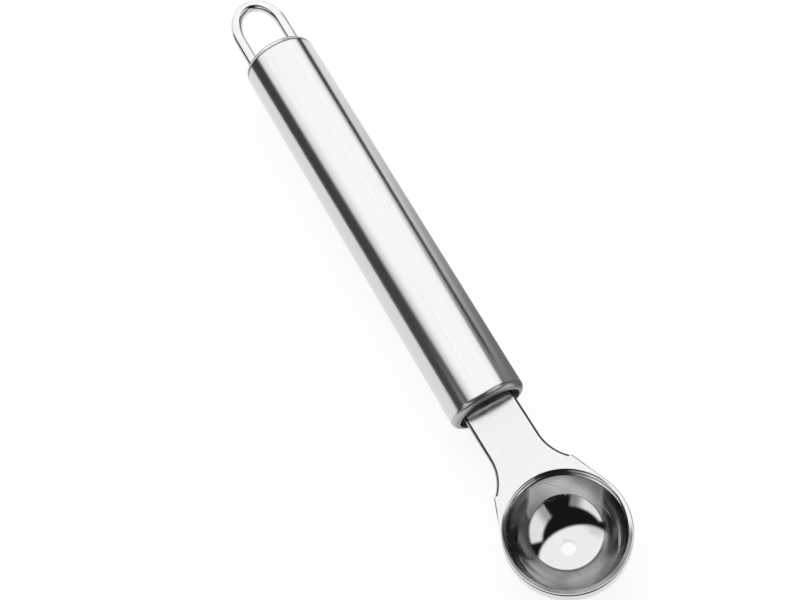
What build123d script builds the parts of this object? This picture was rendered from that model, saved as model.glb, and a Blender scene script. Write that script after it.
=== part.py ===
from build123d import *
from math import asin, atan, cos, hypot, radians, sin, sqrt, tan
import os

# Melon baller with a tubular handle, all stainless steel, in millimetres.
# It lies on its back: +X runs from the hanging loop to the bowl, +Z is up, and the bowl opens upward.
# The origin is under the middle of the tool, on the surface that the tool lies on.

# Handle: a thin tube, plugged by a cap at the back and spun in to a mouth at the front
tube_diameter = 19.0
tube_wall = 0.8
handle_length = 109.3
lip_radius = 1.6

# End cap: a turned disc whose flange sits on the tube's end, a little inside the tube's outline
cap_flange = 1.1
cap_depth = 3.0
cap_margin = 0.25
cap_edge_round = 0.3

# Hanging loop: a bent wire whose two legs pass through the cap, welded to it close inside the tube
wire_diameter = 3.0
loop_reach = 19.0
loop_arch = 8.7
loop_tail = 1.6
loop_bead = 0.8
loop_margin = 0.32

# Scoop: one stamping, with a tang in the handle, a bent neck and a bowl
sheet_thickness = 2.0
neck_width = 13.0
neck_edge_flat = 0.2
bend_radius = 6.0
bowl_reach = 34.0
shoulder_angle = 21.0
shoulder_length = 9.8
flare_radius = 11.5

# Bowl: a straight wall, a heel, and a flatter floor that takes over where the heel slopes at floor_angle
bowl_radius = 13.3
bowl_straight = 3.6
heel_radius = 7.0
floor_angle = 44.5
bowl_wall = 1.3
rim_crest = 0.1
rim_relief = 0.8
relief_lead = 3.5
rim_round = 0.35
drain_hole_diameter = 3.6
drain_hole_round = 0.3

# Plug: the turned block in the tube that holds the tang
plug_setback = 9.0
plug_length = 8.0
plug_edge_chamfer = 0.5
tang_tail = 3.0
tang_bead = 1.0
tang_bead_length = 9.0

# Fits: the gap round a piece that is pressed or welded in, and the overrun of a cut
contact_gap = 0.03
overrun = 1.0

tube_radius = tube_diameter / 2
bore_radius = tube_radius - tube_wall
mouth_radius = tube_radius - lip_radius
wire_radius = wire_diameter / 2
bead_foot = wire_radius + contact_gap
half_spacing = bore_radius - loop_margin - loop_bead - bead_foot
half_sheet = sheet_thickness / 2
neck_edge_round = half_sheet - neck_edge_flat / 2
outer_radius = bowl_radius + bowl_wall
draw_radius = bowl_wall - rim_crest

# Inside of the bowl: how far out the heel's centre lies, and how far the floor's centre is over the top
heel_offset = bowl_radius - heel_radius
floor_slope = radians(floor_angle)
floor_radius = heel_radius + heel_offset / sin(floor_slope)
floor_height = heel_offset / tan(floor_slope) - bowl_straight
bowl_depth = floor_radius - floor_height

# The neck rises just enough to bring the bowl's underside level with the tube's underside.
floor_arm = half_sheet + floor_height
floor_rise = floor_radius + bowl_wall - tube_radius
incline = asin(floor_rise / hypot(bowl_reach, floor_arm)) - atan(floor_arm / bowl_reach)
bowl_rise = bowl_reach * sin(incline) + half_sheet * cos(incline)
bowl_advance = bowl_reach * cos(incline) - half_sheet * sin(incline)

# Places along X, from the middle of the tool
heel_advance = heel_offset * cos(incline) + bowl_straight * sin(incline)
front_length = bowl_advance + heel_advance + heel_radius + bowl_wall
total_length = loop_reach + wire_radius + handle_length + front_length
mouth_x = total_length / 2 - front_length
cap_x = mouth_x - handle_length
tube_x = cap_x + cap_flange
plug_x = mouth_x - plug_setback - plug_length
tang_x = plug_x - tang_tail
axis_z = tube_radius

# Planes: across the handle, along it, and on the scoop's flat top with its origin in the bowl's middle
side_plane = Plane(origin=(0, 0, axis_z), x_dir=(1, 0, 0), z_dir=(0, -1, 0))
level_plane = Plane(origin=(0, 0, axis_z), x_dir=(1, 0, 0), z_dir=(0, 0, 1))
scoop_plane = Plane(
    origin=(mouth_x + bowl_advance, 0, axis_z + bowl_rise),
    x_dir=(cos(incline), 0, sin(incline)),
    z_dir=(-sin(incline), 0, cos(incline)),
)
scoop_side = Plane(origin=scoop_plane.origin, x_dir=scoop_plane.x_dir, z_dir=(0, -1, 0))


def station(x):
    """Plane across the handle at x, facing forward, with its own x along Y and its own y along Z."""
    return Plane(origin=(x, 0, axis_z), x_dir=(0, 1, 0), z_dir=(1, 0, 0))


os.makedirs("parts", exist_ok=True)

# Handle tube: a straight wall that turns inward at the mouth by a quarter of a circle
with BuildPart() as handle_tube:
    with BuildSketch(side_plane):
        with BuildLine():
            rear = Line((tube_x, bore_radius), (tube_x, tube_radius))
            outside = Line(rear @ 1, (mouth_x - lip_radius, tube_radius))
            turn = RadiusArc(outside @ 1, (mouth_x, mouth_radius), lip_radius)
            edge = Line(turn @ 1, (mouth_x - tube_wall, mouth_radius))
            inner_turn = RadiusArc(edge @ 1, (mouth_x - lip_radius, bore_radius), tube_wall - lip_radius)
            Line(inner_turn @ 1, rear @ 0)
        make_face()
    revolve(axis=Axis((0, 0, axis_z), (1, 0, 0)))
handle_tube.part.label = "handle_tube"
export_step(handle_tube.part, "parts/handle_tube.step")

# End cap: a flange on the tube's end and a spigot in its bore, with a hole for each leg of the loop
with BuildPart() as end_cap:
    with BuildSketch(station(cap_x)):
        Circle(tube_radius - cap_margin)
    extrude(amount=cap_flange)
    fillet(end_cap.edges().sort_by(Axis.X)[0], cap_edge_round)
    with BuildSketch(station(tube_x)):
        Circle(bore_radius - contact_gap)
    extrude(amount=cap_depth - cap_flange)
    with BuildSketch(station(cap_x)):
        with GridLocations(2 * half_spacing, 0, 2, 1):
            Circle(bead_foot)
    extrude(amount=cap_depth, mode=Mode.SUBTRACT)
end_cap.part.label = "end_cap"
export_step(end_cap.part, "parts/end_cap.step")

# Hanging loop: round wire on a path of two straight legs and a tall arch
leg_end_x = cap_x + cap_depth + loop_tail
arch_x = cap_x - loop_reach + loop_arch
with BuildPart() as hanging_loop:
    with BuildLine(level_plane) as loop_path:
        near_leg = Line((leg_end_x, -half_spacing), (arch_x, -half_spacing))
        far_leg = Line((arch_x, half_spacing), (leg_end_x, half_spacing))
        EllipticalCenterArc((arch_x, 0), loop_arch, half_spacing, start_angle=90, arc_size=180)
    with BuildSketch(station(leg_end_x)):
        with Locations((-half_spacing, 0)):
            Circle(wire_radius)
    sweep(path=loop_path.wires()[0])
hanging_loop.part.label = "hanging_loop"
export_step(hanging_loop.part, "parts/hanging_loop.step")

# Loop welds: a bead round each leg, on the cap's inner face
with BuildPart() as loop_welds:
    bead_x = cap_x + cap_depth
    for side in (-1, 1):
        leg_y = side * half_spacing
        bead_plane = Plane(origin=(bead_x, leg_y, axis_z), x_dir=(1, 0, 0), z_dir=(0, -1, 0))
        with BuildSketch(bead_plane):
            with BuildLine():
                foot = Line((0, bead_foot + loop_bead), (0, bead_foot))
                flank = Line(foot @ 1, (loop_bead, bead_foot))
                RadiusArc(flank @ 1, foot @ 0, loop_bead)
            make_face()
        revolve(axis=Axis((bead_x, leg_y, axis_z), (1, 0, 0)))
loop_welds.part.label = "loop_welds"
export_step(loop_welds.part, "parts/loop_welds.step")

# Scoop outline on its flat top: the shoulders run from the bowl's circle to a corner, and flare into the neck
shoulder = radians(shoulder_angle)
touch = Vector(-outer_radius * sin(shoulder), outer_radius * cos(shoulder))
corner = touch - Vector(cos(shoulder), sin(shoulder)) * shoulder_length
half_neck = neck_width / 2
flare_rise = corner.Y - half_neck
flare_run = sqrt(flare_radius**2 - (flare_radius - flare_rise) ** 2)
flare_start = Vector(corner.X - flare_run, half_neck)
bend_run = 2 * bend_radius * tan(abs(incline) / 2)
neck_start = Vector(bend_run - bowl_reach, half_neck)

# Where the draw radius at the bowl's mouth meets the flat top, and where the ground rim starts and ends
draw_top = bowl_radius + draw_radius
relief_setback = relief_lead - touch.X
relief_slope = rim_relief / (outer_radius + relief_setback)
cutter_x = outer_radius + overrun


def mirrored(point):
    """The same point on the other side of the scoop's middle line."""
    return Vector(point.X, -point.Y)


def bowl_curve(start, wall):
    """Lines down the side, round the heel and along the floor of the bowl, a wall outside the hollow."""
    heel_start = Vector(-bowl_radius - wall, -bowl_straight)
    floor_edge = Vector(-sin(floor_slope), -cos(floor_slope)) * (floor_radius + wall)
    bottom = Vector(0, -bowl_depth - wall)
    side = Line(start, heel_start)
    heel = RadiusArc(side @ 1, floor_edge + Vector(0, floor_height), -(heel_radius + wall))
    return RadiusArc(heel @ 1, bottom, -(floor_radius + wall))


def along_neck(edge):
    """True for an edge that lies in the sheet's plane and doesn't run straight across the neck."""
    direction = edge.tangent_at(0.5)
    return abs(direction.dot(scoop_plane.z_dir)) < 0.5 and abs(direction.Y) < 0.99


# Scoop: one piece from the tang in the handle to the ground rim of the bowl
with BuildPart() as scoop:
    # Neck: a flat strip that flares towards the bowl, rounded along both sides
    with BuildSketch(scoop_plane):
        with BuildLine():
            back = Line(mirrored(neck_start), neck_start)
            straight = Line(back @ 1, flare_start)
            flare = RadiusArc(straight @ 1, corner, -flare_radius)
            front = Line(flare @ 1, mirrored(corner))
            other_flare = RadiusArc(front @ 1, mirrored(flare_start), -flare_radius)
            Line(other_flare @ 1, back @ 0)
        make_face()
    extrude(amount=-sheet_thickness)
    fillet(scoop.edges().filter_by(along_neck), neck_edge_round)

    # Shoulders: flat, with crisp edges that run tangent to the bowl
    with BuildSketch(scoop_plane):
        Polygon(corner, mirrored(corner), mirrored(touch), touch, align=None)
    extrude(amount=-sheet_thickness)

    # Outside of the bowl
    with BuildSketch(scoop_side):
        with BuildLine():
            across = Line((0, 0), (-outer_radius, 0))
            outer_floor = bowl_curve(across @ 1, bowl_wall)
            Line(outer_floor @ 1, across @ 0)
        make_face()
    revolve(axis=Axis(scoop_plane.origin, scoop_plane.z_dir))

    # Tang and bend: the same rounded strip, straight in the handle and turned up at the mouth
    with BuildLine(side_plane) as tang_path:
        FilletPolyline(
            (tang_x, 0),
            (mouth_x, 0),
            (mouth_x + bend_run * cos(incline), bend_run * sin(incline)),
            radius=bend_radius,
        )
    with BuildSketch(station(tang_x)):
        RectangleRounded(neck_width, sheet_thickness, neck_edge_round)
    sweep(path=tang_path.wires()[0])

    # Hollow of the bowl, with the draw radius at its mouth
    with BuildSketch(scoop_side):
        with BuildLine():
            top = Line((0, overrun), (-draw_top, overrun))
            mouth = Line(top @ 1, (-draw_top, 0))
            draw = RadiusArc(mouth @ 1, (-bowl_radius, -draw_radius), draw_radius)
            inner_floor = bowl_curve(draw @ 1, 0)
            Line(inner_floor @ 1, top @ 0)
        make_face()
    revolve(axis=Axis(scoop_plane.origin, scoop_plane.z_dir), mode=Mode.SUBTRACT)

    # Rim: ground slightly below the flat top, most at the front, with its outer edge rounded
    with BuildSketch(scoop_side):
        Polygon(
            (-relief_setback, 0),
            (cutter_x, -relief_slope * (cutter_x + relief_setback)),
            (cutter_x, overrun),
            (-relief_setback, overrun),
            align=None,
        )
    extrude(amount=cutter_x, both=True, mode=Mode.SUBTRACT)
    rim_land = scoop.faces().filter_by(GeomType.PLANE).sort_by(Axis.X)[-1]
    fillet(rim_land.edges().filter_by(GeomType.ELLIPSE).sort_by(SortBy.LENGTH)[-1], rim_round)

    # Drain hole through the bottom, with its inner edge rounded
    with BuildSketch(scoop_plane):
        Circle(drain_hole_diameter / 2)
    extrude(amount=-(bowl_depth + bowl_wall + overrun), mode=Mode.SUBTRACT)
    hole_edges = scoop.edges(Select.LAST).filter_by(GeomType.CIRCLE).group_by(SortBy.RADIUS)[0]
    fillet(hole_edges.group_by(Axis.Z)[-1], drain_hole_round)
scoop.part.label = "scoop"
export_step(scoop.part, "parts/scoop.step")

# Tang plug: a turned block in the tube's bore, slotted for the tang
with BuildPart() as tang_plug:
    with BuildSketch(station(plug_x)):
        Circle(bore_radius - contact_gap)
    extrude(amount=plug_length)
    chamfer(tang_plug.edges().filter_by(GeomType.CIRCLE), plug_edge_chamfer)
    with BuildSketch(station(plug_x)):
        RectangleRounded(
            neck_width + 2 * contact_gap,
            sheet_thickness + 2 * contact_gap,
            neck_edge_round + contact_gap,
        )
    extrude(amount=plug_length, mode=Mode.SUBTRACT)
tang_plug.part.label = "tang_plug"
export_step(tang_plug.part, "parts/tang_plug.step")

# Tang welds: a bead above and a bead below the tang, on the plug's back face
with BuildPart() as tang_welds:
    for side in (-1, 1):
        tang_face = side * (half_sheet + contact_gap)
        with BuildSketch(side_plane):
            with BuildLine():
                root = Line((plug_x, tang_face + side * tang_bead), (plug_x, tang_face))
                on_tang = Line(root @ 1, (plug_x - tang_bead, tang_face))
                RadiusArc(on_tang @ 1, root @ 0, side * tang_bead)
            make_face()
        extrude(amount=tang_bead_length / 2, both=True)
tang_welds.part.label = "tang_welds"
export_step(tang_welds.part, "parts/tang_welds.step")
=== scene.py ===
from math import cos, radians, sin
from types import SimpleNamespace

import bpy
from mathutils import Matrix, Vector

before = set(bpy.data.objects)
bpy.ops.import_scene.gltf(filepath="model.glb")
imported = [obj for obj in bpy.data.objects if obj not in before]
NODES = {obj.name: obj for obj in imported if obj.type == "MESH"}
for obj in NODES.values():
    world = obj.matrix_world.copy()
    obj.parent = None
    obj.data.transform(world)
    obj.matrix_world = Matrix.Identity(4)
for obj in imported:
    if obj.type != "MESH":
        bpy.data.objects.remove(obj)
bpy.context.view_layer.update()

# Camera: fitted to the photograph, in metres and in the frame of the part
SENSOR_WIDTH = 36.0
IMAGE_WIDTH = 800
FOCAL_PIXELS = 1370
CAMERA_PLACE = Vector((0.1260, -0.0414, 0.3133))
CAMERA_RIGHT = Vector((0.47738, 0.87472, -0.08348))
CAMERA_UP = Vector((-0.79949, 0.47181, 0.37177))
NEAREST_SEEN = 0.01

# Floor: larger than any view of the tool needs, with a lift that takes it from pale to white
FLOOR_SIZE = 3.0
FLOOR_GREY = 0.22
FLOOR_LIFT = 0.85
WHITE = 1.0

# Cards that only the steel shows: dark ones that stand beside the handle and the neck, and a grey one that
# lies beside the handle with another standing at its back. The right card's back corner is under the floor.
# A card with a fade goes from white to its grey between two places along X.
CARDS = {
    "left_card": {
        "corners": ((-0.125, -0.048, 0), (0.005, -0.285, 0), (0.005, -0.285, 0.135), (-0.125, -0.048, 0.032)),
        "grey": 0.055,
    },
    "neck_card": {
        "corners": ((0.016, -0.088, 0), (0.062, -0.072, 0), (0.062, -0.072, 0.032), (0.016, -0.088, 0.032)),
        "grey": 0.055,
    },
    "right_card": {
        "corners": ((-0.15, 0.082, -0.006), (0.0, 0.109, 0.022), (0.0, 0.109, 0.045), (-0.15, 0.082, 0.024)),
        "grey": 0.015,
    },
    "grey_card": {
        "corners": (
            (-0.100, 0.014, 0.0005),
            (0.056, 0.014, 0.0005),
            (0.085, 0.110, 0.0005),
            (-0.130, 0.110, 0.0005),
        ),
        "grey": 0.2,
        "fade": (-0.085, 0.028),
    },
    "grey_card_back": {
        "corners": ((0.085, 0.110, 0), (0.085, 0.110, 0.055), (-0.130, 0.110, 0.055), (-0.130, 0.110, 0)),
        "grey": 0.2,
        "fade": (-0.085, 0.028),
    },
}

# Studio: what stands in each direction, as azimuths from +X towards +Y, elevations and angles in degrees.
# A reach is how far the unit vector of a direction goes along the unit vector of a side.
ROOM_GREY = 0.012
BACKDROP_TOP = 9.0
BACKDROP_BLUR = 1.0
BACKDROP_LEAN = (-60, 83)
OVERHEAD_CENTRE = (173, 42.5)
OVERHEAD_RADIUS = 54.4
OVERHEAD_GREY = 1.36
DIMMED_SIDE = (-100, 30)
DIMMED_REACH = (0.83, 1.0)
DIMMED_SHARES = (1.0, 0.65)
WINDOW_GREY = 1.2
EDGE_BLUR = 3.0
QUARTER_TURN = 90
UPWARD = (0, 0, 1)
RIGHT_WINDOW = {
    "azimuths": (10, 82),
    "lowest": 31,
    "hollow": (-154, 69.7),
    "hollow_radius": 53,
    "bright_side": 100,
    "fade_reach": (0.1, 0.4),
    "fade_shares": (0.45, 1),
}
LEFT_WINDOW = {
    "azimuths": (-106, -40),
    "lowest": 18,
    "hollow": (165, 72.2),
    "hollow_radius": 60.6,
    "bright_side": -130,
    "fade_reach": (0.12, 0.42),
    "fade_shares": (0.3, 1),
}

# Ends of a ramp, and the spans of a noise's values over which a finish changes
RISE = (0, 1)
FALL = (1, 0)
WIDE_SPAN = (0.25, 0.75)
MIDDLE_SPAN = (0.3, 0.7)
NARROW_SPAN = (0.35, 0.65)
CORE_SPAN = (0.4, 0.6)

# Noises: features in each metre along X, Y and Z or across rings, and how many finer layers they have
PLAIN_DETAIL = 2.0
RING_DETAIL = 3.0
HAIR_DETAIL = 1.0
HEAT_DETAIL = 4.0
TUBE_LINES = (25, 2600, 2600)
TUBE_WAVES = (18, 260, 260)
LIP_RINGS = 3000
CAP_RINGS = 3500
PLUG_RINGS = 4000
WIRE_CLOUD = (220, 220, 220)
WIRE_GRAIN = (1800, 1800, 1800)
SCOOP_SATIN = (500, 1400, 900)
SCOOP_CLOUD = (140, 140, 140)
SCOOP_HAIRS = (160, 90, 120)
SCOOP_CELLS = 330
WELD_HEAT = (500, 500, 500)
WELD_RIPPLES = (2200, 2200, 2200)

# Sockets of a mix node by what it mixes: first input, second input and output
MIX_SOCKETS = {"FLOAT": (2, 3, 0), "VECTOR": (4, 5, 1)}

# Vector operations that give a number
MEASURES = ("DOT_PRODUCT", "LENGTH", "DISTANCE")

# Tube: where its zones begin and end, by distance from its axis or along X, and its finishes
TUBE_AXIS_Z = 0.0095
BORE_EDGE = (0.0088, 0.0090)
LIP_EDGE = (0.0390, 0.0394)
SEAM_EDGE = (-0.0674, -0.0671)
TUBE_GREYS = (0.655, 0.695)
LIP_GREYS = (0.3, 0.62)
BORE_GREY = 0.35
# The seam's grey is painted shade in the gap between the tube and the cap.
SEAM_PAINTED_SHADE_GREY = 0.15
TUBE_ROUGHNESS = (0.13, 0.17)
WAVE_ROUGHNESS = 0.2
LIP_ROUGHNESS = 0.3
BORE_ROUGHNESS = 0.45
WAVE_SHARE = 6
LINE_SHARE = 0.5
TUBE_RELIEF = 0.0000012

# Cap: its rounded edge by distance from the tube's axis, the corner of that edge along X, and its finishes
CAP_EDGE = (0.00905, 0.00915)
CAP_CORNER = (-0.0688, -0.0684)
CAP_CORNER_BLUR = 0.00005
CAP_LEAN = -0.5
CAP_FACE_GREYS = (0.6, 0.7)
CAP_EDGE_GREY = 0.68
# The corner's grey is a painted dark reflection on the cap's rounded edge.
CAP_CORNER_PAINTED_REFLECTION_GREY = 0.52
CAP_ROUGHNESS = (0.1, 0.2)
CAP_RELIEF = 0.000002

# Wire, plug and welds
WIRE_GREYS = (0.62, 0.7)
WIRE_ROUGHNESS = (0.07, 0.15)
WIRE_RELIEF = 0.000008
PLUG_GREYS = (0.45, 0.55)
PLUG_ROUGHNESS = (0.3, 0.45)
PLUG_RELIEF = 0.00001
WELD_COLOURS = ((0.30, 0.26, 0.22, 1), (0.55, 0.53, 0.50, 1))
WELD_ROUGHNESS = (0.35, 0.55)
WELD_RELIEF = 0.00002

# Scoop: the middle of the bowl's rim, and the bowl's axis, which leans back by an angle
BOWL_CENTRE = (0.0742, 0, 0.0145)
BOWL_TILT = radians(6.76)
BOWL_AXIS = (-sin(BOWL_TILT), 0, cos(BOWL_TILT))
LEVEL = (1, 1, 0)

# Scoop's zones by distance from the bowl's axis
HOLE_EDGE = (0.0021, 0.0022)
HOLLOW_EDGE = (0.0134, 0.0136)
CREST_SPAN = (0.0134, 0.0143)
CREST_BLUR = 0.00005
CREST_ROUND = (0.01425, 0.01435)
PLATE_EDGE = (0.0145, 0.0159)

# Scoop's zones by height over the rim
WALL_FOOT = (-0.0097, -0.0067)
FRONT_FOOT = (-0.0062, -0.0050)
FLARE_FOOT = (-0.0022, -0.0016)
CREST_FOOT = (-0.0018, -0.0015)

# Scoop's zones by how much the surface faces up or down, or away from the middle of the rim
CORNER_FACING = (0.68, 0.95)
CORNER_BLUR = 0.03
SIDE_FACING = (0.62, 0.70)
CREST_FACING = (0.13, 0.2)
HOLE_FACING = (0.1, 0.3)
INNER_FACING = (-0.0008, 0.0002)

# Scoop's zones by reach from the middle of the rim towards a side, and the even disc on the bowl's floor
NECK_SIDE = (-0.8, 0.6, 0)
FLARE_REACH = (0.003, 0.008)
FRONT_REACH = (0, 0.004)
FLANK_REACH = (0.005, 0.010)
HEEL_SIDE = (-0.861, 0.508, 0)
HEEL_REACH = (0.0035, 0.0055)
HEEL_ACROSS = (0.508, 0.861, 0)
HEEL_ENDS = (0.0078, 0.0090)
DISC_CENTRE = (-0.00146, 0.00109, 0)
DISC_EDGE = (0.00835, 0.00865)
STEP_EDGE = (0.00875, 0.00955)

# Scoop's small wear, in patches: scratches along a noise's middle value, and specks in the middle of cells
HAIR_MIDDLE = 0.5
HAIR_WIDTH = (0, 0.006)
HAIR_PATCHES = (0.56, 0.62)
SPECK_WIDTH = (0.06, 0.09)
SPECK_PATCHES = (0.5, 0.54)

# Scoop's greys. The front, flank, crest, side and corner greys and the shares that darken a ring beside the
# even disc are painted dark reflections, and the heel's grey is a painted highlight.
OUTER_GREY = 0.65
BOWL_GREY = 0.61
PLATE_GREYS = (0.645, 0.665)
FRONT_PAINTED_REFLECTION_GREYS = (0.24, 0.38)
FRONT_TOP_GREY = 0.66
PAINTED_RING_SHARES = (0.4, 1)
FLANK_PAINTED_REFLECTION_GREY = 0.4
HEEL_PAINTED_HIGHLIGHT_GREY = 0.98
FLARE_GREY = 0.68
CREST_PAINTED_REFLECTION_GREYS = (0.18, 0.28)
SIDE_PAINTED_REFLECTION_GREY = 0.5
CORNER_PAINTED_REFLECTION_GREY = 0.08
SCRATCH_GREY = 0.5

# Scoop's roughness
OUTER_ROUGHNESS = 0.12
BOWL_ROUGHNESS = (0.04, 0.07)
WALL_ROUGHNESS = 0.42
FLANK_ROUGHNESS = 0.18
SURROUND_SHARE = 0.5
HEEL_ROUGHNESS = 0.2
FLARE_ROUGHNESS = 0.17
PLATE_ROUGHNESS = (0.17, 0.23)
SIDE_ROUGHNESS = 0.25
WEAR_ROUGHNESS = 0.5

# Scoop's relief, and how its shading turns from the surface: leans along X and Z, and the heel's slope
FLOOR_WAVES = 0.15
WALL_WAVES = 1.0
SATIN_SHARE = 0.05
SCOOP_RELIEF = 0.00002
CROWN_SPAN = (0.0436, 0.0520)
CROWN_LEANS = (0.17, 0)
FLARE_LEAN = 1.1
CREST_LEAN = 1.5
HEEL_SLOPE = radians(48)
HEEL_INWARD = (-sin(HEEL_SLOPE), -sin(HEEL_SLOPE), -sin(HEEL_SLOPE))
HEEL_UPWARD = (0, 0, cos(HEEL_SLOPE))


def node_tree(owner):
    """An empty node tree for a material or the world."""
    owner.use_nodes = True
    owner.node_tree.nodes.clear()
    return owner.node_tree


def add_node(tree, kind, links=(), **values):
    """A node with its settings and its links, which are pairs of an input and a source socket."""
    made = tree.nodes.new(kind)
    for name, value in values.items():
        setattr(made, name, value)
    for name, source in links:
        tree.links.new(source, made.inputs[name])
    return made


def connect(tree, socket, value):
    """Sets a socket to a number or a vector, or links it to another socket."""
    if isinstance(value, (int, float, tuple)):
        socket.default_value = value
    else:
        tree.links.new(value, socket)


def maths(tree, operation, *inputs):
    """The output of a math node. Each input is a socket or a number."""
    made = add_node(tree, "ShaderNodeMath", operation=operation)
    for slot, value in enumerate(inputs):
        connect(tree, made.inputs[slot], value)
    return made.outputs[0]


def vector_maths(tree, operation, *inputs):
    """The output of a vector math node, a number for the measures. Each input is a socket or a vector."""
    made = add_node(tree, "ShaderNodeVectorMath", operation=operation)
    for slot, value in enumerate(inputs):
        connect(tree, made.inputs[slot], value)
    return made.outputs["Value" if operation in MEASURES else "Vector"]


def mix(tree, factor, first, second, kind="FLOAT"):
    """first where the factor is 0 and second where it is 1. Each is a socket, or a number or vector."""
    first_socket, second_socket, output = MIX_SOCKETS[kind]
    made = add_node(tree, "ShaderNodeMix", data_type=kind)
    for socket, value in (("Factor", factor), (first_socket, first), (second_socket, second)):
        connect(tree, made.inputs[socket], value)
    return made.outputs[output]


def ramp(tree, value, span, ends=RISE):
    """The value taken smoothly from one end to the other as it goes through the span."""
    made = add_node(tree, "ShaderNodeMapRange", [("Value", value)], interpolation_type="SMOOTHSTEP")
    low, high = span
    at_low, at_high = ends
    made.inputs["From Min"].default_value = low
    made.inputs["From Max"].default_value = high
    made.inputs["To Min"].default_value = at_low
    made.inputs["To Max"].default_value = at_high
    return made.outputs[0]


def product(tree, *factors):
    """The factors multiplied together."""
    result = factors[0]
    for factor in factors[1:]:
        result = maths(tree, "MULTIPLY", result, factor)
    return result


def band(tree, value, span, blur):
    """1 where the value is in the span, with blurred edges."""
    low, high = span
    over = ramp(tree, value, (low - blur, low + blur))
    under = ramp(tree, value, (high - blur, high + blur), FALL)
    return product(tree, over, under)


def opposite(tree, mask):
    """1 where the mask is 0 and 0 where it is 1."""
    return maths(tree, "SUBTRACT", 1, mask)


def layered(tree, base, *layers):
    """The base under layers, each with its mask and what it has where the mask is 1."""
    for mask, value in layers:
        base = mix(tree, mask, base, value)
    return base


def place(tree):
    """Where a point of the piece is, in metres."""
    return add_node(tree, "ShaderNodeTexCoord").outputs["Object"]


def parts_of(tree, vector):
    """The vector's parts along X, Y and Z."""
    return add_node(tree, "ShaderNodeSeparateXYZ", [(0, vector)]).outputs


def along(tree, vector, side):
    """How far the vector goes along a side, which is a unit vector."""
    return vector_maths(tree, "DOT_PRODUCT", vector, side)


def surface_normal(tree):
    """The direction that the surface faces."""
    return add_node(tree, "ShaderNodeNewGeometry").outputs["Normal"]


def noise(tree, per_metre, detail=PLAIN_DETAIL, vector=None):
    """Noise with a number of features in each metre along X, Y and Z."""
    mapped = add_node(tree, "ShaderNodeMapping", [("Vector", vector or place(tree))])
    mapped.inputs["Scale"].default_value = per_metre
    made = add_node(tree, "ShaderNodeTexNoise", [("Vector", mapped.outputs[0])])
    made.inputs["Scale"].default_value = 1
    made.inputs["Detail"].default_value = detail
    return made.outputs["Fac"]


def rings(tree, radius, per_metre):
    """Noise that changes only with the radius, as the marks of a lathe or a polishing wheel do."""
    turned = add_node(tree, "ShaderNodeCombineXYZ", [("X", radius)])
    return noise(tree, (per_metre, 1, 1), RING_DETAIL, turned.outputs[0])


def radius_from_axis(tree, height):
    """How far a point is from the line along X at this height."""
    spot = parts_of(tree, place(tree))
    across = maths(tree, "POWER", spot["Y"], 2)
    up = maths(tree, "POWER", maths(tree, "SUBTRACT", spot["Z"], height), 2)
    return maths(tree, "SQRT", maths(tree, "ADD", across, up))


def opaque(grey):
    """A grey as a colour."""
    return (grey, grey, grey, 1)


def seeing_rays(tree):
    """1 for rays from the camera, from glossy surfaces and through glass, and 0 for the other ones."""
    path = add_node(tree, "ShaderNodeLightPath").outputs
    seen = maths(tree, "MAXIMUM", path["Is Camera Ray"], path["Is Glossy Ray"])
    return maths(tree, "MAXIMUM", seen, path["Is Transmission Ray"])


def new_finish(name):
    """A new material and its empty node tree."""
    material = bpy.data.materials.new(name)
    return material, node_tree(material)


def finish(tree, colour, roughness, relief, relief_height, normal=None):
    """The metal shader, with a relief whose height is in metres, over the surface or over a turned normal."""
    shader = add_node(tree, "ShaderNodeBsdfPrincipled")
    connect(tree, shader.inputs["Base Color"], colour)
    connect(tree, shader.inputs["Roughness"], roughness)
    shader.inputs["Metallic"].default_value = 1
    bump = add_node(tree, "ShaderNodeBump", [("Height", relief)])
    bump.inputs["Strength"].default_value = 1
    bump.inputs["Distance"].default_value = relief_height
    if normal:
        tree.links.new(normal, bump.inputs["Normal"])
    tree.links.new(bump.outputs[0], shader.inputs["Normal"])
    add_node(tree, "ShaderNodeOutputMaterial", [("Surface", shader.outputs[0])])


def leaned(tree, normal, **leans):
    """The normal turned by its leans along X, Y or Z, which are sockets."""
    lean = add_node(tree, "ShaderNodeCombineXYZ", leans.items())
    return vector_maths(tree, "NORMALIZE", vector_maths(tree, "ADD", normal, lean.outputs[0]))


def handle_steel():
    """Tube polished along its length, with rings on the lip, a dull bore and painted shade in the seam at the
    cap.
    """
    material, tree = new_finish("handle_steel")
    lines = noise(tree, TUBE_LINES)
    waves = noise(tree, TUBE_WAVES)
    radius = radius_from_axis(tree, TUBE_AXIS_Z)
    along_x = parts_of(tree, place(tree))["X"]
    bore = ramp(tree, radius, BORE_EDGE, FALL)
    lip = product(tree, ramp(tree, along_x, LIP_EDGE), opposite(tree, bore))
    lip_rings = rings(tree, maths(tree, "SUBTRACT", radius, along_x), LIP_RINGS)
    # Painted shade in the seam where the tube meets the cap.
    seam = ramp(tree, along_x, SEAM_EDGE, FALL)
    grey = layered(
        tree,
        ramp(tree, lines, WIDE_SPAN, TUBE_GREYS),
        (lip, ramp(tree, lip_rings, CORE_SPAN, LIP_GREYS)),
        (bore, BORE_GREY),
        (seam, SEAM_PAINTED_SHADE_GREY),
    )
    roughness = layered(
        tree,
        ramp(tree, lines, WIDE_SPAN, TUBE_ROUGHNESS),
        (waves, WAVE_ROUGHNESS),
        (lip, LIP_ROUGHNESS),
        (bore, BORE_ROUGHNESS),
    )
    relief = maths(tree, "ADD", product(tree, waves, WAVE_SHARE), product(tree, lines, LINE_SHARE))
    finish(tree, grey, roughness, relief, TUBE_RELIEF)
    return material


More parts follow.
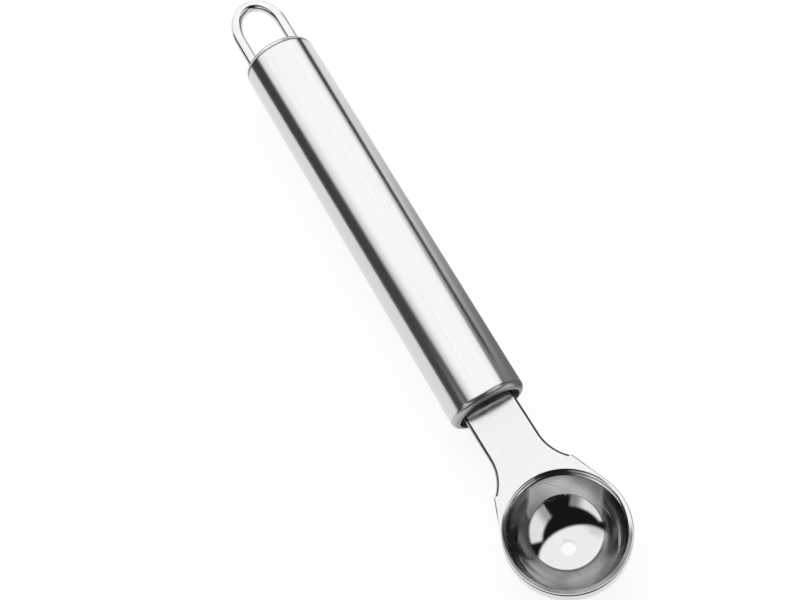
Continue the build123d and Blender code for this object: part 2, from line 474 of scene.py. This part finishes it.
def cap_steel():
    """Turned disc with fine rings, and a rounded edge with a painted dark reflection on its corner."""
    material, tree = new_finish("cap_steel")
    radius = radius_from_axis(tree, TUBE_AXIS_Z)
    turned = rings(tree, radius, CAP_RINGS)
    edge = ramp(tree, radius, CAP_EDGE)
    # The corner of the rounded edge is painted with a dark reflection.
    corner = band(tree, parts_of(tree, place(tree))["X"], CAP_CORNER, CAP_CORNER_BLUR)
    grey = layered(
        tree,
        ramp(tree, turned, MIDDLE_SPAN, CAP_FACE_GREYS),
        (edge, CAP_EDGE_GREY),
        (product(tree, edge, corner), CAP_CORNER_PAINTED_REFLECTION_GREY),
    )
    roughness = ramp(tree, turned, MIDDLE_SPAN, CAP_ROUGHNESS)
    normal = leaned(tree, surface_normal(tree), X=product(tree, edge, CAP_LEAN))
    finish(tree, grey, roughness, turned, CAP_RELIEF, normal)
    return material


def wire_steel():
    """Drawn and polished wire."""
    material, tree = new_finish("wire_steel")
    cloud = noise(tree, WIRE_CLOUD)
    grain = noise(tree, WIRE_GRAIN)
    grey = ramp(tree, cloud, MIDDLE_SPAN, WIRE_GREYS)
    roughness = ramp(tree, grain, MIDDLE_SPAN, WIRE_ROUGHNESS)
    finish(tree, grey, roughness, cloud, WIRE_RELIEF)
    return material


def plug_steel():
    """Turned and left unpolished."""
    material, tree = new_finish("plug_steel")
    turned = rings(tree, parts_of(tree, place(tree))["X"], PLUG_RINGS)
    grey = ramp(tree, turned, MIDDLE_SPAN, PLUG_GREYS)
    roughness = ramp(tree, turned, MIDDLE_SPAN, PLUG_ROUGHNESS)
    finish(tree, grey, roughness, turned, PLUG_RELIEF)
    return material


def weld_steel():
    """Weld bead with its heat tint and ripples."""
    material, tree = new_finish("weld_steel")
    heat = noise(tree, WELD_HEAT, HEAT_DETAIL)
    tint = add_node(tree, "ShaderNodeValToRGB", [("Fac", heat)])
    for stop, colour in zip(tint.color_ramp.elements, WELD_COLOURS):
        stop.color = colour
    ripples = noise(tree, WELD_RIPPLES)
    roughness = ramp(tree, ripples, MIDDLE_SPAN, WELD_ROUGHNESS)
    finish(tree, tint.outputs["Color"], roughness, ripples, WELD_RELIEF)
    return material


def scoop_spot(tree):
    """Where a point of the scoop is from the middle of the bowl's rim, and how its surface faces there."""
    offset = vector_maths(tree, "SUBTRACT", place(tree), BOWL_CENTRE)
    level = vector_maths(tree, "MULTIPLY", offset, LEVEL)
    height = along(tree, offset, BOWL_AXIS)
    distance = vector_maths(tree, "LENGTH", offset)
    square = maths(tree, "SUBTRACT", product(tree, distance, distance), product(tree, height, height))
    normal = surface_normal(tree)
    return SimpleNamespace(
        offset=offset,
        level=level,
        height=height,
        radius=maths(tree, "SQRT", square),
        from_disc=vector_maths(tree, "DISTANCE", level, DISC_CENTRE),
        rearward=along(tree, offset, NECK_SIDE),
        aside=maths(tree, "ABSOLUTE", parts_of(tree, offset)["Y"]),
        normal=normal,
        outward=vector_maths(tree, "DOT_PRODUCT", normal, offset),
        upward=maths(tree, "ABSOLUTE", parts_of(tree, normal)["Z"]),
    )


def scoop_zones(tree, spot):
    """Masks of the scoop's zones, each 1 inside its zone. The surround is the hollow around the even disc."""
    zone = SimpleNamespace()
    inner = ramp(tree, spot.outward, INNER_FACING, FALL)
    zone.hollow = product(tree, inner, ramp(tree, spot.radius, HOLLOW_EDGE, FALL))
    zone.wall = ramp(tree, spot.height, WALL_FOOT)
    zone.flanks = ramp(tree, spot.aside, FLANK_REACH)
    zone.plate = ramp(tree, spot.radius, PLATE_EDGE)
    zone.corner = product(tree, zone.plate, band(tree, spot.upward, CORNER_FACING, CORNER_BLUR))
    zone.side = product(tree, zone.plate, ramp(tree, spot.upward, SIDE_FACING, FALL))

    flare_height = ramp(tree, spot.height, FLARE_FOOT)
    zone.flare = product(tree, zone.hollow, flare_height, ramp(tree, spot.rearward, FLARE_REACH))
    zone.surround = product(tree, zone.hollow, ramp(tree, spot.from_disc, DISC_EDGE))
    behind = ramp(tree, along(tree, spot.offset, HEEL_SIDE), HEEL_REACH)
    across = maths(tree, "ABSOLUTE", along(tree, spot.offset, HEEL_ACROSS))
    between = ramp(tree, across, HEEL_ENDS, FALL)
    zone.heel = product(tree, zone.surround, behind, between, opposite(tree, zone.flare))

    front = ramp(tree, spot.rearward, FRONT_REACH, FALL)
    rim = product(tree, front, ramp(tree, spot.height, CREST_FOOT), ramp(tree, spot.upward, CREST_FACING))
    zone.crest = product(tree, rim, band(tree, spot.radius, CREST_SPAN, CREST_BLUR))
    zone.crest_round = product(tree, rim, ramp(tree, spot.radius, CREST_ROUND))
    around_hole = ramp(tree, spot.radius, HOLE_EDGE, FALL)
    zone.hole = product(tree, zone.hollow, around_hole, ramp(tree, spot.upward, HOLE_FACING))
    return zone


def scoop_wear(tree, zone, cloud):
    """Masks of the scratches alone and of the scratches with the specks, in the bowl."""
    hairs = noise(tree, SCOOP_HAIRS, HAIR_DETAIL)
    from_hair = maths(tree, "ABSOLUTE", maths(tree, "SUBTRACT", hairs, HAIR_MIDDLE))
    hair = ramp(tree, from_hair, HAIR_WIDTH, FALL)
    scratches = product(tree, zone.hollow, hair, ramp(tree, cloud, HAIR_PATCHES))
    cells = add_node(tree, "ShaderNodeTexVoronoi", [("Vector", place(tree))])
    cells.inputs["Scale"].default_value = SCOOP_CELLS
    dot = ramp(tree, cells.outputs["Distance"], SPECK_WIDTH, FALL)
    specks = product(tree, zone.hollow, dot, ramp(tree, cloud, SPECK_PATCHES))
    return scratches, maths(tree, "MAXIMUM", scratches, specks)


def scoop_grey(tree, spot, zone, scratches, cloud, satin):
    """The scoop's grey, with painted reflections: painted dark on the bowl's flanks and front, on the front
    rim's crest and on the neck's sides and edge, and painted pale as a highlight on the heel.
    """
    # The bowl's front is painted dark as a reflection low down, and darker still in a ring just outside the
    # even disc.
    front_painted_reflection = ramp(tree, cloud, NARROW_SPAN, FRONT_PAINTED_REFLECTION_GREYS)
    front = mix(tree, ramp(tree, spot.height, FRONT_FOOT), front_painted_reflection, FRONT_TOP_GREY)
    front = product(tree, front, ramp(tree, spot.from_disc, STEP_EDGE, PAINTED_RING_SHARES))
    return layered(
        tree,
        mix(tree, zone.hollow, OUTER_GREY, BOWL_GREY),
        (zone.plate, ramp(tree, satin, MIDDLE_SPAN, PLATE_GREYS)),
        (zone.surround, mix(tree, zone.flanks, front, FLANK_PAINTED_REFLECTION_GREY)),
        (zone.heel, HEEL_PAINTED_HIGHLIGHT_GREY),
        (zone.flare, FLARE_GREY),
        (zone.crest, ramp(tree, cloud, NARROW_SPAN, CREST_PAINTED_REFLECTION_GREYS)),
        (zone.side, SIDE_PAINTED_REFLECTION_GREY),
        (zone.corner, CORNER_PAINTED_REFLECTION_GREY),
        (scratches, SCRATCH_GREY),
    )


def scoop_roughness(tree, zone, wear, cloud, satin):
    """The scoop's roughness: a mirror on the bowl's floor, blurred on its wall and satin on the neck."""
    floor = ramp(tree, cloud, MIDDLE_SPAN, BOWL_ROUGHNESS)
    wall = product(tree, zone.hollow, zone.wall)
    blurred = maths(tree, "MAXIMUM", wall, product(tree, zone.surround, SURROUND_SHARE))
    return layered(
        tree,
        mix(tree, zone.hollow, OUTER_ROUGHNESS, floor),
        (blurred, mix(tree, zone.flanks, WALL_ROUGHNESS, FLANK_ROUGHNESS)),
        (zone.heel, HEEL_ROUGHNESS),
        (zone.flare, FLARE_ROUGHNESS),
        (zone.plate, ramp(tree, satin, MIDDLE_SPAN, PLATE_ROUGHNESS)),
        (maths(tree, "MAXIMUM", zone.side, zone.crest), SIDE_ROUGHNESS),
        (wear, WEAR_ROUGHNESS),
    )


def scoop_normal(tree, spot, zone):
    """The scoop's normal, turned in some places: sloped inward on the heel, along the bowl's axis at the
    hole's edge, and leaned on the neck's crown, on the flare and on the round of the front rim."""
    inward = vector_maths(tree, "MULTIPLY", vector_maths(tree, "NORMALIZE", spot.level), HEEL_INWARD)
    slope = vector_maths(tree, "ADD", inward, HEEL_UPWARD)
    pressed = mix(tree, zone.hole, slope, BOWL_AXIS, "VECTOR")
    share = maths(tree, "MAXIMUM", zone.heel, zone.hole)
    normal = mix(tree, share, spot.normal, pressed, "VECTOR")
    crown = ramp(tree, parts_of(tree, place(tree))["X"], CROWN_SPAN, CROWN_LEANS)
    flare = product(tree, zone.flare, FLARE_LEAN)
    crest = product(tree, zone.crest_round, CREST_LEAN)
    return leaned(tree, normal, X=product(tree, zone.plate, crown), Z=maths(tree, "ADD", flare, crest))


def scoop_steel():
    """Stamped sheet: a mirror bowl with blurred zones, painted dark and pale reflections and small wear, and
    a satin neck with painted dark reflections on its edges.
    """
    material, tree = new_finish("scoop_steel")
    cloud = noise(tree, SCOOP_CLOUD)
    satin = noise(tree, SCOOP_SATIN)
    spot = scoop_spot(tree)
    zone = scoop_zones(tree, spot)
    scratches, wear = scoop_wear(tree, zone, cloud)
    grey = scoop_grey(tree, spot, zone, scratches, cloud, satin)
    roughness = scoop_roughness(tree, zone, wear, cloud, satin)
    waves = product(tree, cloud, mix(tree, zone.wall, FLOOR_WAVES, WALL_WAVES))
    relief = mix(tree, zone.plate, waves, product(tree, satin, SATIN_SHARE))
    finish(tree, grey, roughness, relief, SCOOP_RELIEF, scoop_normal(tree, spot, zone))
    return material


def pointing(azimuth, elevation=0):
    """The unit vector with an azimuth and an elevation in degrees."""
    across = cos(radians(elevation))
    return (across * cos(radians(azimuth)), across * sin(radians(azimuth)), sin(radians(elevation)))


def edge_at(elevation, blur=EDGE_BLUR):
    """The sines of the elevations, in degrees, at both sides of a blurred edge."""
    return (sin(radians(elevation - blur)), sin(radians(elevation + blur)))


def inside_circle(tree, direction, centre, radius):
    """1 inside a circle of directions, with a blurred edge."""
    edge = (cos(radians(radius + EDGE_BLUR)), cos(radians(radius - EDGE_BLUR)))
    return ramp(tree, along(tree, direction, pointing(*centre)), edge)


def towards(tree, direction, azimuth):
    """1 in the half of all directions with this azimuth in its middle, with a blurred edge."""
    return ramp(tree, along(tree, direction, pointing(azimuth)), edge_at(0))


def window(tree, direction, azimuths, lowest, hollow, hollow_radius, bright_side, fade_reach, fade_shares):
    """A window between two azimuths, above an elevation and outside a circle, brighter towards one side."""
    start, end = azimuths
    return product(
        tree,
        opposite(tree, inside_circle(tree, direction, hollow, hollow_radius)),
        ramp(tree, along(tree, direction, UPWARD), edge_at(lowest)),
        towards(tree, direction, start + QUARTER_TURN),
        towards(tree, direction, end - QUARTER_TURN),
        ramp(tree, along(tree, direction, pointing(bright_side)), fade_reach, fade_shares),
        WINDOW_GREY,
    )


def add_world():
    """Studio by direction: a round overhead light and two windows in a dark room, over a white backdrop."""
    world = bpy.data.worlds.new("studio")
    bpy.context.scene.world = world
    tree = node_tree(world)
    direction = add_node(tree, "ShaderNodeTexCoord").outputs["Generated"]
    overhead = product(
        tree,
        inside_circle(tree, direction, OVERHEAD_CENTRE, OVERHEAD_RADIUS),
        ramp(tree, along(tree, direction, pointing(*DIMMED_SIDE)), DIMMED_REACH, DIMMED_SHARES),
        OVERHEAD_GREY,
    )
    right = window(tree, direction, **RIGHT_WINDOW)
    left = window(tree, direction, **LEFT_WINDOW)
    lights = maths(tree, "MAXIMUM", overhead, maths(tree, "MAXIMUM", left, right))
    room = maths(tree, "ADD", lights, ROOM_GREY)
    leaning = along(tree, direction, pointing(*BACKDROP_LEAN))
    low = ramp(tree, leaning, edge_at(BACKDROP_TOP, BACKDROP_BLUR), FALL)
    strength = maths(tree, "MAXIMUM", room, product(tree, seeing_rays(tree), low))
    light = add_node(tree, "ShaderNodeBackground", [("Strength", strength)])
    light.inputs["Color"].default_value = opaque(WHITE)
    add_node(tree, "ShaderNodeOutputWorld", [("Surface", light.outputs[0])])


def add_card(name, corners, grey, fade=None):
    """A flat card that only reflections show, of one grey or with a fade."""
    mesh = bpy.data.meshes.new(name)
    mesh.from_pydata(corners, [], [tuple(range(len(corners)))])
    card = bpy.data.objects.new(name, mesh)
    bpy.context.scene.collection.objects.link(card)
    material, tree = new_finish(name)
    glow = add_node(tree, "ShaderNodeEmission")
    if fade:
        along_x = parts_of(tree, place(tree))["X"]
        tree.links.new(ramp(tree, along_x, fade, (WHITE, grey)), glow.inputs["Color"])
    else:
        glow.inputs["Color"].default_value = opaque(grey)
    add_node(tree, "ShaderNodeOutputMaterial", [("Surface", glow.outputs[0])])
    mesh.materials.append(material)
    card.visible_camera = False
    card.visible_diffuse = False
    card.visible_shadow = False
    card.visible_transmission = False


def add_floor():
    """A pale floor that shows the tool's shadow on white, to the eye and in the steel alike."""
    bpy.ops.mesh.primitive_plane_add(size=FLOOR_SIZE)
    floor = bpy.context.object
    floor.name = "floor"
    material, tree = new_finish("floor_white")
    paint = add_node(tree, "ShaderNodeBsdfDiffuse")
    paint.inputs["Color"].default_value = opaque(FLOOR_GREY)
    strength = product(tree, seeing_rays(tree), FLOOR_LIFT)
    lift = add_node(tree, "ShaderNodeEmission", [("Strength", strength)])
    both = add_node(tree, "ShaderNodeAddShader", [(0, paint.outputs[0]), (1, lift.outputs[0])])
    add_node(tree, "ShaderNodeOutputMaterial", [("Surface", both.outputs[0])])
    floor.data.materials.append(material)


def add_camera():
    """The camera, at the photograph's viewing angle."""
    data = bpy.data.cameras.new("camera")
    data.sensor_width = SENSOR_WIDTH
    data.lens = SENSOR_WIDTH * FOCAL_PIXELS / IMAGE_WIDTH
    data.clip_start = NEAREST_SEEN
    camera = bpy.data.objects.new("camera", data)
    right = CAMERA_RIGHT.normalized()
    back = right.cross(CAMERA_UP).normalized()
    up = back.cross(right)
    turn = Matrix((right, up, back)).transposed()
    camera.matrix_world = Matrix.Translation(CAMERA_PLACE) @ turn.to_4x4()
    bpy.context.scene.collection.objects.link(camera)
    bpy.context.scene.camera = camera


weld = weld_steel()
FINISHES = {
    "scoop": scoop_steel(),
    "handle_tube": handle_steel(),
    "end_cap": cap_steel(),
    "hanging_loop": wire_steel(),
    "tang_plug": plug_steel(),
    "tang_welds": weld,
    "loop_welds": weld,
}
for name, piece in NODES.items():
    piece.data.materials.clear()
    piece.data.materials.append(FINISHES[name])
    for polygon in piece.data.polygons:
        polygon.use_smooth = True
add_floor()
for name, card in CARDS.items():
    add_card(name, **card)
add_camera()
add_world()
bpy.context.scene.view_settings.view_transform = "Standard"
